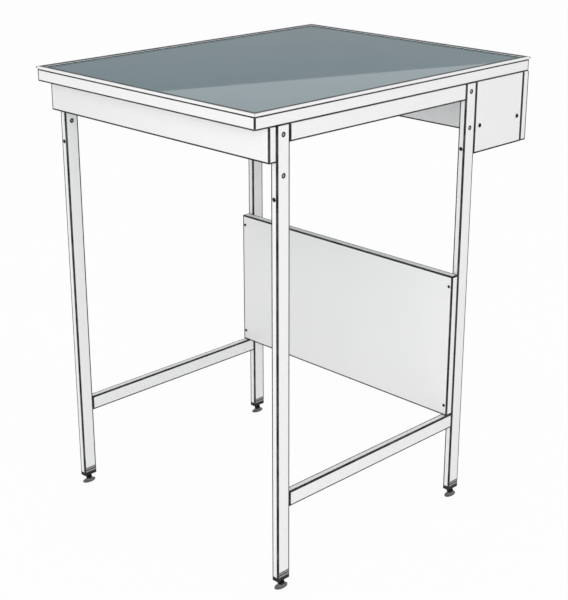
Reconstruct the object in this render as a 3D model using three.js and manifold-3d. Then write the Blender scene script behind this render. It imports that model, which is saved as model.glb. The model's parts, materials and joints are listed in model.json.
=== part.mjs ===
// Weighing balance table: a stone slab in a white edge frame, on a stand of rectangular steel tube.
// Millimetres, +Z up, X across the width, the user's side at -Y, origin on the floor under the middle.
import * as THREE from "three";
import { mergeVertices } from "three/addons/utils/BufferGeometryUtils.js";
import Module from "manifold-3d";

const wasm = await Module();
wasm.setup();

// Driving dimensions: the whole table
const TOP_WIDTH = 600;
const TOP_DEPTH = 750;
const TABLE_HEIGHT = 900;
const GAP = 0.3; // left between pieces that bear on each other
const RUNNING_CLEARANCE = 0.3; // round shanks and spindles, on the radius

// Driving dimensions: edge frame, slab and what carries it
const BORDER_WIDTH = 11;
const LIP_HEIGHT = 4.3;
const LIP_OVERHANG = 2;
const LIP_RADIUS = 1.5;
const FLANGE_WIDTH = 20;
const FLANGE_THICKNESS = 2.5;
const SLAB_THICKNESS = 20;
const SLAB_RECESS = 2.5;
const SLAB_ARRIS = 0.8;
const SEAL_WIDTH = 1.4;
const SEAL_DEPTH = 6;
const SEAL_SINK = 0.3;
const BUFFER_LENGTH = 45;
const BUFFER_WIDTH = 14;
const BUFFER_THICKNESS = 2.4;
const BUFFER_SETBACK = 60; // from the slab's front or rear edge to the nearer end of a buffer

// Driving dimensions: tubular stand
const TUBE_LONG = 30;
const TUBE_SHORT = 15;
const TUBE_WALL = 1.5;
const TUBE_RADIUS = 1.5;
const FRONT_LEG_SETBACK = 50; // from the top's front edge to the legs
const REAR_LEG_SETBACK = 170.5; // from the top's rear edge to the legs
const LOWER_RAIL_TOP = 194;
const RAIL_END_BLOCK = 14; // length of the threaded block in each end of a cross rail

// Driving dimensions: boards and covers
const BOARD_THICKNESS = 18;
const APRON_HEIGHT = 60;
const PANEL_HEIGHT = 300;
const SKIRT_HEIGHT = 138;
const COVER_THICKNESS = 1.5;
const STAY_DROP = 85; // from the top's underside to the middle of the stays and the cover screws

// Driving dimensions: fasteners
const BOLT_HEAD_DIAMETER = 7;
const BOLT_SHANK_DIAMETER = 5;
const BOLT_HEAD_SINK = 0.4;
const BOLT_RING = 0.8; // open ring round a bolt head, on the radius
const SOCKET_ACROSS_FLATS = 3;
const SOCKET_DEPTH = 2;
const LEG_BOLT_DROP = 85;
const PANEL_SCREW_HEAD_DIAMETER = 6;
const COVER_SCREW_HEAD_DIAMETER = 8;
const SCREW_HEAD_HEIGHT = 1.6;
const SCREW_SHANK_DIAMETER = 3;
const SCREW_TIP = 4; // length that comes out behind a tube wall
const PANEL_SCREW_INSET = 22;
const COVER_SCREW_INSET = 15;
const PLUG_HEAD_DIAMETER = 5.5;
const PLUG_HEAD_HEIGHT = 0.8;
const PLUG_STEM_DIAMETER = 4;
const PLUG_STEM_LENGTH = 5;
const PLUG_DROP = 125;

// Driving dimensions: levelling feet
const CAP_STANDOFF = 17.7; // from the floor to the underside of the leg caps
const CAP_FLANGE = 5;
const CAP_DEPTH = 26;
const NOTCH_HEIGHT = 13;
const RIB_GROOVE_HEIGHT = 1.4;
const RIB_GROOVE_DEPTH = 0.9;
const SPINDLE_DIAMETER = 8;
const SPINDLE_CHAMFER = 1;
const SPINDLE_OVERRUN = 5; // reach of the spindle above the cap's insert
const COLLAR_ACROSS_FLATS = 12;
const COLLAR_HEIGHT = 6;
const PAD_LENGTH = 30;
const PAD_WIDTH = 16;
const PAD_RIM_HEIGHT = 3.2;
const PAD_DOME_HEIGHT = 5.2;
const PAD_ROUND = 1;
const PAD_SOLE = 2.6;
const HUB_DIAMETER = 12.6;
const HUB_HEIGHT = 7;

// Derived levels
const EDGE_HEIGHT = FLANGE_THICKNESS + BUFFER_THICKNESS + SLAB_THICKNESS + SLAB_RECESS + 2 * GAP;
const TOP_UNDERSIDE = TABLE_HEIGHT - EDGE_HEIGHT;
const FRAME_TOP = TOP_UNDERSIDE - GAP;
const SLAB_TOP = TABLE_HEIGHT - SLAB_RECESS;
const LEG_BOTTOM = CAP_STANDOFF + CAP_FLANGE + GAP;
const LEG_LENGTH = FRAME_TOP - LEG_BOTTOM;
const UPPER_RAIL_MIDDLE = FRAME_TOP - TUBE_LONG / 2;
const LOWER_RAIL_MIDDLE = LOWER_RAIL_TOP - TUBE_LONG / 2;
const STAY_MIDDLE = TOP_UNDERSIDE - STAY_DROP;
const LEG_BOLT_LEVEL = TOP_UNDERSIDE - LEG_BOLT_DROP;
const PLUG_LEVEL = TOP_UNDERSIDE - PLUG_DROP;
const PANEL_BOTTOM = LOWER_RAIL_TOP + GAP;
const COLLAR_BOTTOM = HUB_HEIGHT + GAP;
const NOTCH_WIDTH = TUBE_LONG - 2 * TUBE_RADIUS; // the flat part of a leg's wide face

// Derived places in plan
const HALF_WIDTH = TOP_WIDTH / 2;
const HALF_DEPTH = TOP_DEPTH / 2;
const LEG_X = HALF_WIDTH - TUBE_SHORT / 2;
const LEG_Y = {
  front: -HALF_DEPTH + FRONT_LEG_SETBACK + TUBE_LONG / 2,
  rear: HALF_DEPTH - REAR_LEG_SETBACK - TUBE_LONG / 2,
};
const SIDE_RAIL_FRONT = LEG_Y.front + TUBE_LONG / 2 + GAP;
const SIDE_RAIL_REAR = LEG_Y.rear - TUBE_LONG / 2 - GAP;
const APRON_REAR = LEG_Y.front - TUBE_LONG / 2 - GAP;
const PANEL_REAR = LEG_Y.rear - TUBE_LONG / 2 - GAP;
const SKIRT_REAR = HALF_DEPTH - LIP_OVERHANG;
const SKIRT_FRONT = SKIRT_REAR - BOARD_THICKNESS;
const COVER_FRONT = LEG_Y.rear + TUBE_LONG / 2 + GAP;
const COVER_REAR = SKIRT_FRONT - GAP;
const STAY_X = HALF_WIDTH - COVER_THICKNESS - GAP - TUBE_SHORT / 2;
const SEAL_INSET = BORDER_WIDTH + GAP;
const SLAB_INSET = SEAL_INSET + SEAL_WIDTH + GAP;
const PANEL_SCREW_LEVELS = {
  lower: PANEL_BOTTOM + PANEL_SCREW_INSET,
  upper: PANEL_BOTTOM + PANEL_HEIGHT - PANEL_SCREW_INSET,
};
const COVER_SCREW_Y = {
  front: COVER_FRONT + COVER_SCREW_INSET,
  rear: COVER_REAR - COVER_SCREW_INSET,
};

// Which way each side and end lies
const SIDES = { left: -1, right: 1 };
const ENDS = { front: -1, rear: 1 };
const QUARTER_TURN = Math.PI / 2;
const CORNER_SEGMENTS = 3;
const ROUND_SEGMENTS = 16;
const PAD_SEGMENTS = 28;
const HEX_SIDES = 6;
const CUT_REACH = 2; // how far a cutting tool stands out of what it cuts

const table = new THREE.Group();

// Finishes
const finish = (color, roughness, metalness) =>
  new THREE.MeshStandardMaterial({ color, roughness, metalness });
const PAINTED_STEEL = () => finish(0xefefef, 0.45, 0);
const WHITE_BOARD = () => finish(0xeeeeee, 0.55, 0);
const STONE = () => finish(0x7b8a90, 0.2, 0);
const DARK_RUBBER = () => finish(0x262a2b, 0.8, 0);
const BLACK_PLASTIC = () => finish(0x17181a, 0.5, 0);
const ZINC = () => finish(0xb9bcbd, 0.35, 0.9);
const BLACK_STEEL = () => finish(0x232527, 0.45, 0.6);

function addPart(name, geometry, material, x, y, z) {
  const mesh = new THREE.Mesh(geometry, material);
  mesh.name = name;
  mesh.position.set(x, y, z);
  table.add(mesh);
}

// Solids: joins and cuts of closed geometry
function solidOf(geometry) {
  const bare = geometry.clone();
  bare.deleteAttribute("normal");
  bare.deleteAttribute("uv");
  const merged = mergeVertices(bare, 1e-4);
  return new wasm.Manifold(
    new wasm.Mesh({
      numProp: 3,
      vertProperties: new Float32Array(merged.attributes.position.array),
      triVerts: new Uint32Array(merged.index.array),
    }),
  );
}

function geometryOf(solid) {
  const mesh = solid.getMesh();
  const geometry = new THREE.BufferGeometry();
  geometry.setAttribute("position", new THREE.BufferAttribute(mesh.vertProperties, 3));
  geometry.setIndex(new THREE.BufferAttribute(mesh.triVerts, 1));
  return geometry;
}

function shaped(base, { joined = [], cuts = [] }) {
  let solid = solidOf(base);
  joined.forEach((piece) => {
    solid = solid.add(solidOf(piece));
  });
  cuts.forEach((tool) => {
    solid = solid.subtract(solidOf(tool));
  });
  return geometryOf(solid);
}

// Basic shapes
function roundedRectangle(width, height, radius) {
  const x = width / 2 - radius;
  const y = height / 2 - radius;
  const shape = new THREE.Shape();
  shape.absarc(x, y, radius, 0, QUARTER_TURN);
  shape.absarc(-x, y, radius, QUARTER_TURN, 2 * QUARTER_TURN);
  shape.absarc(-x, -y, radius, 2 * QUARTER_TURN, 3 * QUARTER_TURN);
  shape.absarc(x, -y, radius, 3 * QUARTER_TURN, 4 * QUARTER_TURN);
  return shape;
}

function prism(shape, length) {
  return new THREE.ExtrudeGeometry(shape, {
    depth: length,
    bevelEnabled: false,
    curveSegments: CORNER_SEGMENTS,
  });
}

function tubeSection(width, height) {
  const shape = roundedRectangle(width, height, TUBE_RADIUS);
  shape.holes.push(tubeBore(width, height));
  return shape;
}

function tubeBore(width, height) {
  const radius = Math.max(TUBE_RADIUS - TUBE_WALL, TUBE_WALL / 2);
  return roundedRectangle(width - 2 * TUBE_WALL, height - 2 * TUBE_WALL, radius);
}

function box(x, y, z) {
  return new THREE.BoxGeometry(x, y, z);
}

const alongX = (geometry) => geometry.rotateZ(-QUARTER_TURN);
const alongZ = (geometry) => geometry.rotateX(QUARTER_TURN);

function rod(radius, length, sides = ROUND_SEGMENTS) {
  return new THREE.CylinderGeometry(radius, radius, length, sides);
}

const hexagon = (acrossFlats, length) => rod(acrossFlats / Math.sqrt(3), length, HEX_SIDES);

// Edge frame of the top
// The profile is drawn as distance in from the outer edge, and height above the top's underside.
function edgeProfile() {
  const lipUnderside = EDGE_HEIGHT - LIP_HEIGHT;
  const shape = new THREE.Shape();
  shape.moveTo(LIP_OVERHANG, 0);
  shape.lineTo(BORDER_WIDTH + FLANGE_WIDTH, 0);
  shape.lineTo(BORDER_WIDTH + FLANGE_WIDTH, FLANGE_THICKNESS);
  shape.lineTo(BORDER_WIDTH, FLANGE_THICKNESS);
  shape.lineTo(BORDER_WIDTH, EDGE_HEIGHT);
  shape.lineTo(LIP_RADIUS, EDGE_HEIGHT);
  shape.absarc(LIP_RADIUS, EDGE_HEIGHT - LIP_RADIUS, LIP_RADIUS, QUARTER_TURN, 2 * QUARTER_TURN);
  shape.lineTo(0, lipUnderside);
  shape.lineTo(LIP_OVERHANG, lipUnderside);
  return shape;
}

// An edge runs along local Z, and its ends are mitred: a point further in is nearer the middle.
function mitredEdge(length) {
  const geometry = prism(edgeProfile(), 1);
  const place = geometry.attributes.position;
  for (let i = 0; i < place.count; i += 1) {
    const reach = length / 2 - place.getX(i) - GAP;
    place.setZ(i, place.getZ(i) > 0.5 ? reach : -reach);
  }
  return geometry;
}

function addEdges() {
  // Local X points in from the outer edge, local Y up, once the edge is stood upright.
  const upright = (length) => mitredEdge(length).rotateX(QUARTER_TURN);
  const turned = {
    edge_left: [TOP_DEPTH, 0, -HALF_WIDTH, 0],
    edge_front: [TOP_WIDTH, QUARTER_TURN, 0, -HALF_DEPTH],
    edge_right: [TOP_DEPTH, 2 * QUARTER_TURN, HALF_WIDTH, 0],
    edge_rear: [TOP_WIDTH, 3 * QUARTER_TURN, 0, HALF_DEPTH],
  };
  Object.entries(turned).forEach(([name, [length, angle, x, y]]) => {
    addPart(name, upright(length).rotateZ(angle), PAINTED_STEEL(), x, y, TOP_UNDERSIDE);
  });
}

// Slab with its seal and buffers
function addSlab() {
  const width = TOP_WIDTH - 2 * SLAB_INSET;
  const depth = TOP_DEPTH - 2 * SLAB_INSET;
  const outline = new THREE.Shape();
  outline.moveTo(-width / 2, -depth / 2);
  outline.lineTo(width / 2, -depth / 2);
  outline.lineTo(width / 2, depth / 2);
  outline.lineTo(-width / 2, depth / 2);
  const geometry = new THREE.ExtrudeGeometry(outline, {
    depth: SLAB_THICKNESS - 2 * SLAB_ARRIS,
    bevelThickness: SLAB_ARRIS,
    bevelSize: SLAB_ARRIS,
    bevelOffset: -SLAB_ARRIS,
    bevelSegments: 1,
  });
  addPart("slab", geometry, STONE(), 0, 0, SLAB_TOP - SLAB_THICKNESS + SLAB_ARRIS);
}

function addSeal() {
  const ring = new THREE.Shape();
  const inner = new THREE.Path();
  const outline = (path, inset) => {
    const x = HALF_WIDTH - inset;
    const y = HALF_DEPTH - inset;
    path.moveTo(-x, -y);
    path.lineTo(x, -y);
    path.lineTo(x, y);
    path.lineTo(-x, y);
  };
  outline(ring, SEAL_INSET);
  outline(inner, SEAL_INSET + SEAL_WIDTH);
  ring.holes.push(inner);
  const bottom = SLAB_TOP - SEAL_SINK - SEAL_DEPTH;
  addPart("slab_seal", prism(ring, SEAL_DEPTH), DARK_RUBBER(), 0, 0, bottom);
}

function addBuffers() {
  const x = HALF_WIDTH - SLAB_INSET - BUFFER_WIDTH / 2;
  const y = HALF_DEPTH - SLAB_INSET - BUFFER_SETBACK - BUFFER_LENGTH / 2;
  const z = TOP_UNDERSIDE + FLANGE_THICKNESS + GAP + BUFFER_THICKNESS / 2;
  eachCorner((corner, side, end) => {
    const pad = box(BUFFER_WIDTH, BUFFER_LENGTH, BUFFER_THICKNESS);
    addPart(`slab_buffer_${corner}`, pad, DARK_RUBBER(), side * x, end * y, z);
  });
}

function eachCorner(make) {
  Object.entries(ENDS).forEach(([endName, end]) => {
    Object.entries(SIDES).forEach(([sideName, side]) => {
      make(`${endName}_${sideName}`, side, end, endName);
    });
  });
}

// Legs
function addLegs() {
  const headHole = BOLT_HEAD_DIAMETER / 2 + BOLT_RING;
  const shankHole = BOLT_SHANK_DIAMETER / 2 + RUNNING_CLEARANCE;
  const sleeveHole = BOLT_HEAD_DIAMETER / 2 + RUNNING_CLEARANCE;
  const plugHole = PLUG_STEM_DIAMETER / 2 + RUNNING_CLEARANCE;
  const screwHole = SCREW_SHANK_DIAMETER / 2 + RUNNING_CLEARANCE;
  const wallX = (TUBE_SHORT - TUBE_WALL) / 2;
  const wallY = (TUBE_LONG - TUBE_WALL) / 2;
  const drill = TUBE_WALL + CUT_REACH;
  eachCorner((corner, side, end, endName) => {
    const acrossWall = (radius, towards, level) =>
      alongX(rod(radius, drill)).translate(towards * wallX, 0, level - LEG_BOTTOM);
    const frontWall = (radius, level) =>
      rod(radius, drill).translate(0, -wallY, level - LEG_BOTTOM);
    const cuts = [
      acrossWall(headHole, side, UPPER_RAIL_MIDDLE),
      acrossWall(shankHole, -side, UPPER_RAIL_MIDDLE),
      acrossWall(headHole, side, LEG_BOLT_LEVEL),
      acrossWall(sleeveHole, -side, LEG_BOLT_LEVEL),
      frontWall(plugHole, PLUG_LEVEL),
      box(TUBE_SHORT + CUT_REACH, NOTCH_WIDTH, 2 * NOTCH_HEIGHT),
    ];
    if (endName === "rear") {
      Object.values(PANEL_SCREW_LEVELS).forEach((level) => {
        cuts.push(frontWall(screwHole, level));
      });
    }
    const tube = prism(tubeSection(TUBE_SHORT, TUBE_LONG), LEG_LENGTH);
    const leg = shaped(tube, { cuts });
    addPart(`leg_${corner}`, leg, PAINTED_STEEL(), side * LEG_X, LEG_Y[endName], LEG_BOTTOM);
  });
}

// Rails along the sides, welded between the legs
function sideTube(length) {
  return prism(tubeSection(TUBE_SHORT, TUBE_LONG), length).rotateX(-QUARTER_TURN);
}

function addSideRails() {
  const length = SIDE_RAIL_REAR - SIDE_RAIL_FRONT;
  const levels = { upper_rail: UPPER_RAIL_MIDDLE, lower_rail: LOWER_RAIL_MIDDLE };
  Object.entries(SIDES).forEach(([sideName, side]) => {
    Object.entries(levels).forEach(([rail, level]) => {
      const name = `${rail}_${sideName}`;
      addPart(name, sideTube(length), PAINTED_STEEL(), side * LEG_X, SIDE_RAIL_FRONT, level);
    });
  });
}

// Cross rails, bolted between the side frames through the legs
function addCrossRails() {
  const length = TOP_WIDTH - 2 * TUBE_SHORT - 2 * GAP;
  const hollow = length - 2 * RAIL_END_BLOCK;
  const lying = (geometry) => geometry.rotateY(QUARTER_TURN);
  const bore = lying(prism(tubeBore(TUBE_LONG, TUBE_SHORT), hollow)).translate(-hollow / 2, 0, 0);
  const boltHole = BOLT_SHANK_DIAMETER / 2 + RUNNING_CLEARANCE;
  const boltWay = alongX(rod(boltHole, length + CUT_REACH));
  Object.entries(LEG_Y).forEach(([endName, y]) => {
    const bar = prism(roundedRectangle(TUBE_LONG, TUBE_SHORT, TUBE_RADIUS), length);
    const rail = shaped(lying(bar).translate(-length / 2, 0, 0), { cuts: [bore, boltWay] });
    addPart(`cross_rail_${endName}`, rail, PAINTED_STEEL(), 0, y, UPPER_RAIL_MIDDLE);
  });
}

// Boards: front apron, rear panel between the legs and rear skirt
function addBoards() {
  const apronMiddle = FRAME_TOP - APRON_HEIGHT / 2;
  const apron = box(TOP_WIDTH, BOARD_THICKNESS, APRON_HEIGHT);
  addPart("front_apron", apron, WHITE_BOARD(), 0, APRON_REAR - BOARD_THICKNESS / 2, apronMiddle);

  const panelMiddle = PANEL_BOTTOM + PANEL_HEIGHT / 2;
  const hole = SCREW_SHANK_DIAMETER / 2 + RUNNING_CLEARANCE;
  const cuts = Object.values(SIDES).flatMap((side) =>
    Object.values(PANEL_SCREW_LEVELS).map((level) =>
      rod(hole, BOARD_THICKNESS + CUT_REACH).translate(side * LEG_X, 0, level - panelMiddle),
    ),
  );
  const panel = shaped(box(TOP_WIDTH, BOARD_THICKNESS, PANEL_HEIGHT), { cuts });
  addPart("rear_panel", panel, WHITE_BOARD(), 0, PANEL_REAR - BOARD_THICKNESS / 2, panelMiddle);

  const skirt = box(TOP_WIDTH, BOARD_THICKNESS, SKIRT_HEIGHT);
  const skirtMiddle = FRAME_TOP - SKIRT_HEIGHT / 2;
  addPart("rear_skirt", skirt, WHITE_BOARD(), 0, SKIRT_FRONT + BOARD_THICKNESS / 2, skirtMiddle);
}

// Stays that carry the skirt, and the sheet covers over them
function addStaysAndCovers() {
  const length = COVER_REAR - COVER_FRONT;
  const hole = SCREW_SHANK_DIAMETER / 2 + RUNNING_CLEARANCE;
  const coverMiddle = FRAME_TOP - SKIRT_HEIGHT / 2;
  Object.entries(SIDES).forEach(([sideName, side]) => {
    const wall = (side * (TUBE_SHORT - TUBE_WALL)) / 2;
    const stayCuts = Object.values(COVER_SCREW_Y).map((y) =>
      alongX(rod(hole, TUBE_WALL + CUT_REACH)).translate(wall, y - COVER_FRONT, 0),
    );
    const stay = shaped(sideTube(length), { cuts: stayCuts });
    const stayX = side * STAY_X;
    addPart(`skirt_stay_${sideName}`, stay, PAINTED_STEEL(), stayX, COVER_FRONT, STAY_MIDDLE);

    const coverY = (COVER_FRONT + COVER_REAR) / 2;
    const coverX = side * (HALF_WIDTH - COVER_THICKNESS / 2);
    const coverCuts = Object.values(COVER_SCREW_Y).map((y) =>
      alongX(rod(hole, COVER_THICKNESS + CUT_REACH)).translate(0, y - coverY, STAY_MIDDLE - coverMiddle),
    );
    const cover = shaped(box(COVER_THICKNESS, length, SKIRT_HEIGHT), { cuts: coverCuts });
    addPart(`side_cover_${sideName}`, cover, PAINTED_STEEL(), coverX, coverY, coverMiddle);
  });
}

// Frame bolts clamp a leg's inner wall to a cross rail: head and sleeve in the tube, shank in the rail.
function frameBolt() {
  const sleeve = TUBE_SHORT - TUBE_WALL - GAP - BOLT_HEAD_SINK;
  const shank = TUBE_WALL + 2 * GAP + RAIL_END_BLOCK;
  const radius = BOLT_SHANK_DIAMETER / 2;
  const stem = rod(radius, shank).translate(0, -sleeve - shank / 2 + GAP, 0);
  const head = rod(BOLT_HEAD_DIAMETER / 2, sleeve).translate(0, -sleeve / 2, 0);
  const socket = hexagon(SOCKET_ACROSS_FLATS, 2 * SOCKET_DEPTH);
  return shaped(head, { joined: [stem], cuts: [socket] });
}

// Leg bolts cross the tube and lie flush in both walls.
function legBolt() {
  const length = TUBE_SHORT - 2 * BOLT_HEAD_SINK;
  const sleeve = rod(BOLT_HEAD_DIAMETER / 2, length).translate(0, -length / 2, 0);
  const socket = hexagon(SOCKET_ACROSS_FLATS, 2 * SOCKET_DEPTH);
  const farSocket = socket.clone().translate(0, -length, 0);
  return shaped(sleeve, { cuts: [socket, farSocket] });
}

function addLegFasteners() {
  const headX = HALF_WIDTH - BOLT_HEAD_SINK;
  eachCorner((corner, side, end, endName) => {
    const outward = (geometry) => geometry.rotateZ(-side * QUARTER_TURN);
    const y = LEG_Y[endName];
    const bolt = outward(frameBolt());
    const cross = outward(legBolt());
    addPart(`frame_bolt_${corner}`, bolt, ZINC(), side * headX, y, UPPER_RAIL_MIDDLE);
    addPart(`leg_bolt_${corner}`, cross, ZINC(), side * headX, y, LEG_BOLT_LEVEL);
    const face = y - TUBE_LONG / 2;
    addPart(`hole_plug_${corner}`, holePlug(), BLACK_PLASTIC(), side * LEG_X, face - GAP, PLUG_LEVEL);
  });
}

// Plugs and screws are turned pieces. Local +Y is the head's side, and the head seats at y = 0.
function turned(profile) {
  const points = profile.map(([radius, height]) => new THREE.Vector2(radius, height));
  return new THREE.LatheGeometry(points, ROUND_SEGMENTS);
}

function holePlug() {
  const headRadius = PLUG_HEAD_DIAMETER / 2;
  const stemRadius = PLUG_STEM_DIAMETER / 2;
  return turned([
    [0, -PLUG_STEM_LENGTH],
    [stemRadius, -PLUG_STEM_LENGTH],
    [stemRadius, 0],
    [headRadius, 0],
    [headRadius - PLUG_HEAD_HEIGHT, PLUG_HEAD_HEIGHT],
    [0, PLUG_HEAD_HEIGHT],
  ]).rotateX(2 * QUARTER_TURN);
}

function screw(headDiameter, grip) {
  const headRadius = headDiameter / 2;
  const shankRadius = SCREW_SHANK_DIAMETER / 2;
  const point = shankRadius / 2;
  const end = grip + SCREW_TIP;
  return turned([
    [0, -end],
    [point, -end],
    [shankRadius, -end + point],
    [shankRadius, 0],
    [headRadius, 0],
    [headRadius, SCREW_HEAD_HEIGHT / 2],
    [headRadius / 2, SCREW_HEAD_HEIGHT],
    [0, SCREW_HEAD_HEIGHT],
  ]);
}

function addScrews() {
  const panelGrip = BOARD_THICKNESS + 2 * GAP + TUBE_WALL;
  const panelFace = PANEL_REAR - BOARD_THICKNESS - GAP;
  const coverGrip = COVER_THICKNESS + 2 * GAP + TUBE_WALL;
  Object.entries(SIDES).forEach(([sideName, side]) => {
    Object.entries(PANEL_SCREW_LEVELS).forEach(([level, z]) => {
      const piece = screw(PANEL_SCREW_HEAD_DIAMETER, panelGrip).rotateX(2 * QUARTER_TURN);
      addPart(`panel_screw_${level}_${sideName}`, piece, BLACK_STEEL(), side * LEG_X, panelFace, z);
    });
    Object.entries(COVER_SCREW_Y).forEach(([endName, y]) => {
      const piece = screw(COVER_SCREW_HEAD_DIAMETER, coverGrip).rotateZ(-side * QUARTER_TURN);
      const x = side * (HALF_WIDTH + GAP);
      addPart(`cover_screw_${endName}_${sideName}`, piece, BLACK_STEEL(), x, y, STAY_MIDDLE);
    });
  });
}

// Levelling feet: cap in the leg's end, turning spindle, and pad that stays square to the leg
function legCap() {
  const clear = 2 * (TUBE_WALL + GAP);
  const insetRadius = Math.max(TUBE_RADIUS - TUBE_WALL - GAP, GAP);
  const insert = roundedRectangle(TUBE_SHORT - clear, TUBE_LONG - clear, insetRadius);
  const flange = prism(roundedRectangle(TUBE_SHORT, TUBE_LONG, TUBE_RADIUS), CAP_FLANGE);
  const cheekHeight = NOTCH_HEIGHT;
  const cheek = box(TUBE_SHORT, NOTCH_WIDTH - 2 * GAP, cheekHeight);
  const groove = box(CUT_REACH + 2 * RIB_GROOVE_DEPTH, TUBE_LONG, RIB_GROOVE_HEIGHT);
  const cheekMiddle = CAP_FLANGE + cheekHeight / 2;
  const grooveX = (TUBE_SHORT + CUT_REACH) / 2;
  const height = CAP_FLANGE + CAP_DEPTH;
  const threadHole = SPINDLE_DIAMETER / 2 + RUNNING_CLEARANCE;
  return shaped(flange, {
    joined: [prism(insert, height), cheek.translate(0, 0, cheekMiddle)],
    cuts: [
      groove.clone().translate(grooveX, 0, cheekMiddle),
      groove.clone().translate(-grooveX, 0, cheekMiddle),
      alongZ(rod(threadHole, 2 * height + CUT_REACH)),
    ],
  });
}

function spindle() {
  const radius = SPINDLE_DIAMETER / 2;
  const bottom = PAD_SOLE + GAP;
  const top = CAP_STANDOFF + CAP_FLANGE + CAP_DEPTH + SPINDLE_OVERRUN;
  const stem = turned([
    [0, bottom],
    [radius, bottom],
    [radius, top - SPINDLE_CHAMFER],
    [radius - SPINDLE_CHAMFER, top],
    [0, top],
  ]);
  const collar = hexagon(COLLAR_ACROSS_FLATS, COLLAR_HEIGHT);
  const collarMiddle = COLLAR_BOTTOM + COLLAR_HEIGHT / 2;
  return alongZ(shaped(stem, { joined: [collar.translate(0, collarMiddle, 0)] }));
}

function footPad() {
  const radius = PAD_LENGTH / 2;
  const hubRadius = HUB_DIAMETER / 2;
  const points = [
    [0, 0],
    [radius - PAD_ROUND, 0],
    [radius, PAD_ROUND],
    [radius, PAD_RIM_HEIGHT - PAD_ROUND],
    [radius - PAD_ROUND, PAD_RIM_HEIGHT],
    [hubRadius, PAD_DOME_HEIGHT],
    [0, PAD_DOME_HEIGHT],
  ].map(([r, z]) => new THREE.Vector2(r, z));
  const oval = new THREE.LatheGeometry(points, PAD_SEGMENTS).scale(PAD_WIDTH / PAD_LENGTH, 1, 1);
  const hub = rod(hubRadius, HUB_HEIGHT - PAD_SOLE).translate(0, (HUB_HEIGHT + PAD_SOLE) / 2, 0);
  const socketRadius = SPINDLE_DIAMETER / 2 + RUNNING_CLEARANCE;
  const socket = rod(socketRadius, HUB_HEIGHT).translate(0, PAD_SOLE + HUB_HEIGHT / 2, 0);
  return alongZ(shaped(oval, { joined: [hub], cuts: [socket] }));
}

function addFeet() {
  eachCorner((corner, side, end, endName) => {
    const x = side * LEG_X;
    const y = LEG_Y[endName];
    addPart(`leg_cap_${corner}`, legCap(), BLACK_PLASTIC(), x, y, CAP_STANDOFF);
    addPart(`foot_spindle_${corner}`, spindle(), BLACK_STEEL(), x, y, 0);
    addPart(`foot_pad_${corner}`, footPad(), BLACK_PLASTIC(), x, y, 0);
  });
}

addEdges();
addSlab();
addSeal();
addBuffers();
addLegs();
addSideRails();
addCrossRails();
addBoards();
addStaysAndCovers();
addLegFasteners();
addScrews();
addFeet();

export default table;
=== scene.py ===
"""Looks of the weighing balance table: finishes, fine pieces, studio floor, light and camera."""
import json
import math

import bmesh
import bpy
from mathutils import Matrix, Vector


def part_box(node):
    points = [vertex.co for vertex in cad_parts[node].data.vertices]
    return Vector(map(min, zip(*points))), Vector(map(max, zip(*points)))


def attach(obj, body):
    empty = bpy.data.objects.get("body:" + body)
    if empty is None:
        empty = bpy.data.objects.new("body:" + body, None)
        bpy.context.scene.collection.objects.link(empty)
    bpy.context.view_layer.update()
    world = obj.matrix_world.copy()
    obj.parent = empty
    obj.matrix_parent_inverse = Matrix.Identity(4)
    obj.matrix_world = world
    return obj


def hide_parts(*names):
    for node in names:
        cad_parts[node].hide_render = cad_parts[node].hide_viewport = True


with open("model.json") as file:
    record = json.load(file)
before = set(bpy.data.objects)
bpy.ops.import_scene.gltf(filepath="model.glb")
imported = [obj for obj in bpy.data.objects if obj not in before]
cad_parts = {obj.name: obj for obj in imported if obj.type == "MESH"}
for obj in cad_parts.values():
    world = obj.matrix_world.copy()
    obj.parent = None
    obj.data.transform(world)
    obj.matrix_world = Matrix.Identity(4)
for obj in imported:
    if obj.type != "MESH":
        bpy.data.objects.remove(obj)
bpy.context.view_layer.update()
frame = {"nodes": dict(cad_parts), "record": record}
nodes = frame["nodes"]

# Photograph and camera, in pixels, metres and degrees
IMAGE_WIDTH = 568
IMAGE_HEIGHT = 600
FOCAL_PIXELS = 1331.8
CENTRE_PIXEL = (285.0, 281.6)
CAMERA_PLACE = Vector((1.8140, -1.8139, 1.3575))
CAMERA_TURN = 45.13
CAMERA_DIP = 19.51
CAMERA_CLIP = 100.0
SENSOR = 36.0

# The slab's bright reflection ends on the line through these two pixels
GLARE_PIXELS = ((161.0, 91.3), (465.0, 65.4))

SIDES = {"left": -1, "right": 1}
ENDS = {"front": -1, "rear": 1}
CORNERS = [f"{end}_{side}" for end in ENDS for side in SIDES]
MM = 0.001


# Shader helpers
NOISE_RANGE = (0.3, 0.7)  # where nearly all of a noise lies
BEVEL_SAMPLES_LINE = 16
BEVEL_SAMPLES_BUMP = 6


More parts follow.
